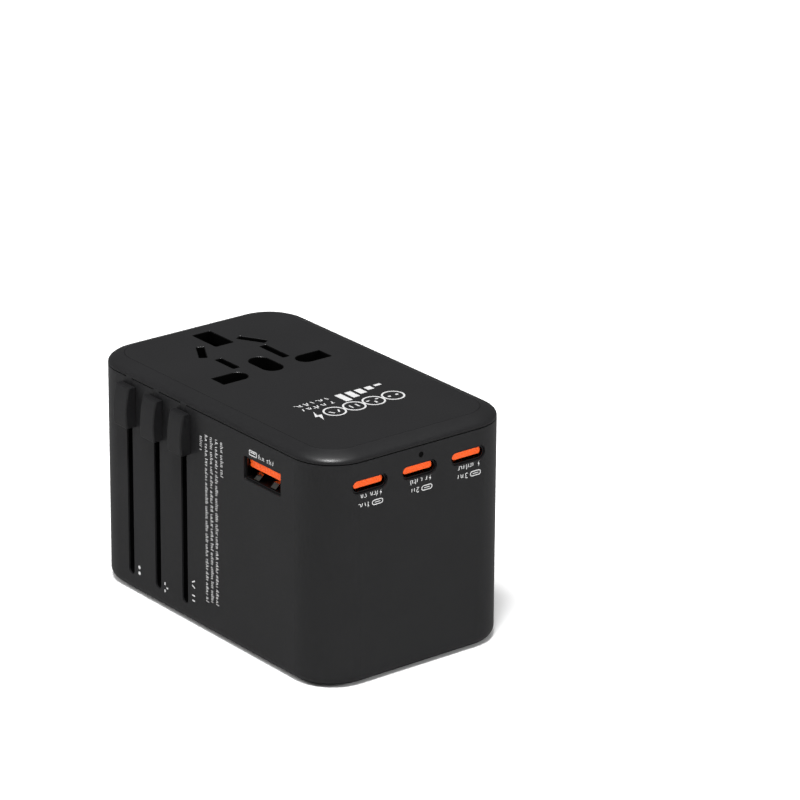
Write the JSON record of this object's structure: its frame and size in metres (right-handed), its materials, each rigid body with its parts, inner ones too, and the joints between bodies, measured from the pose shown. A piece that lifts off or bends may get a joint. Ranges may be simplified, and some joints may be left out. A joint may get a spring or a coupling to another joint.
{
  "type": "universal travel adapter",
  "caption": "Block-shaped travel plug adapter with slide-out European, British and American or Australian pins, a guarded universal socket, USB ports and a fuse drawer.",
  "frame": {"origin": "centre of the whole footprint, knobs included, at the level of the plug face", "axes": "+X along the long side towards the small USB ports, -Y towards the slide knobs, +Z from the plug face up to the socket face"},
  "size_m": [0.0842, 0.0538, 0.0525],
  "materials": {
    "casing_plastic": "fine spark-eroded texture",
    "inner_plastic": "plain moulded",
    "plug_plastic": "satin moulded",
    "knob_plastic": "fine texture",
    "contact_brass": "stamped",
    "nickel_plate": "bright nickel plate",
    "spring_steel": "plain",
    "shell_steel": "plated",
    "tongue_plastic": "gloss moulded",
    "circuit_board": "solder mask",
    "ferrite": "sintered",
    "winding_tape": "tape",
    "capacitor_sleeve": "shrink sleeve",
    "capacitor_can": "bare can",
    "aluminium_sheet": "folded sheet",
    "sheet_plastic": "film",
    "fuse_ceramic": "unglazed",
    "light_pipe": "clear rod",
    "lamp": "lens"
  },
  "bodies": {
    "adapter": {"casing": "casing_plastic", "socket_cover": "casing_plastic", "contact_housing": "inner_plastic", "live_contact": "contact_brass", "neutral_contact": "contact_brass", "earth_contact": "contact_brass", "shutter_spring": "spring_steel", "eu_bus_strips": "contact_brass", "fuse_clips": "contact_brass", "usb_a_shell": "shell_steel", "usb_a_tongue": "tongue_plastic", "main_board": "circuit_board", "usb_board": "circuit_board", "board_pillars": "inner_plastic", "frame_screws": "spring_steel", "transformer_core": "ferrite", "transformer_winding": "winding_tape", "input_capacitors": "capacitor_sleeve", "output_capacitors": "capacitor_can", "choke": "ferrite", "heat_spreader": "aluminium_sheet", "insulating_sheet": "sheet_plastic", "light_pipe": "light_pipe", "indicator_lamp": "lamp", "usb_c_shell_1": "shell_steel", "usb_c_tongue_1": "tongue_plastic", "usb_c_shell_2": "shell_steel", "usb_c_tongue_2": "tongue_plastic", "usb_c_shell_3": "shell_steel", "usb_c_tongue_3": "tongue_plastic"},
    "eu_slider": {"eu_knob": "knob_plastic", "eu_carrier": "inner_plastic", "eu_pins": "nickel_plate", "eu_wipers": "contact_brass"},
    "eu_plug_body": {"eu_block": "plug_plastic"},
    "uk_slider": {"uk_knob": "knob_plastic", "uk_carrier": "inner_plastic", "uk_live_pin": "nickel_plate", "uk_neutral_pin": "nickel_plate", "uk_pin_sleeves": "plug_plastic", "uk_earth_pin": "plug_plastic", "uk_wipers": "contact_brass"},
    "us_slider": {"us_knob": "knob_plastic", "us_carrier": "inner_plastic", "us_wipers": "contact_brass"},
    "us_live_turn": {"us_rotor_live": "inner_plastic", "us_blade_live": "nickel_plate"},
    "us_neutral_turn": {"us_rotor_neutral": "inner_plastic", "us_blade_neutral": "nickel_plate"},
    "fuse_holder": {"fuse_drawer": "casing_plastic", "fuse_tube": "fuse_ceramic", "fuse_caps": "nickel_plate"},
    "socket_guard": {"shutter": "inner_plastic"}
  },
  "joints": [
    {"name": "eu_slide", "type": "slide", "parent": "adapter", "child": "eu_slider", "axis": [0, 0, -1], "range_m": [0, 0.0353]},
    {"name": "eu_block_slide", "type": "slide", "parent": "adapter", "child": "eu_plug_body", "axis": [0, 0, -1], "range_m": [0, 0.0161]},
    {"name": "uk_slide", "type": "slide", "parent": "adapter", "child": "uk_slider", "axis": [0, 0, -1], "range_m": [0, 0.018]},
    {"name": "us_slide", "type": "slide", "parent": "adapter", "child": "us_slider", "axis": [0, 0, -1], "range_m": [0, 0.0173]},
    {"name": "us_live_twist", "type": "hinge", "parent": "us_slider", "child": "us_live_turn", "pos_m": [-0.00435, -0.00585, 0], "axis": [0, 0, 1], "range_deg": [-30, 0]},
    {"name": "us_neutral_twist", "type": "hinge", "parent": "us_slider", "child": "us_neutral_turn", "pos_m": [-0.00435, 0.00695, 0], "axis": [0, 0, 1], "range_deg": [0, 30]},
    {"name": "fuse_drawer_slide", "type": "slide", "parent": "adapter", "child": "fuse_holder", "axis": [0, 0, -1], "range_m": [0, 0.012]},
    {"name": "shutter_slide", "type": "slide", "parent": "adapter", "child": "socket_guard", "axis": [1, 0, 0], "range_m": [0, 0.0056], "stiffness_N_per_m": 120, "springref_m": -0.003, "deforming": ["shutter_spring"]}
  ],
  "couplings": [
    {"joint": "eu_block_slide", "follows": "eu_slide", "ratio": 0.4533}
  ]
}
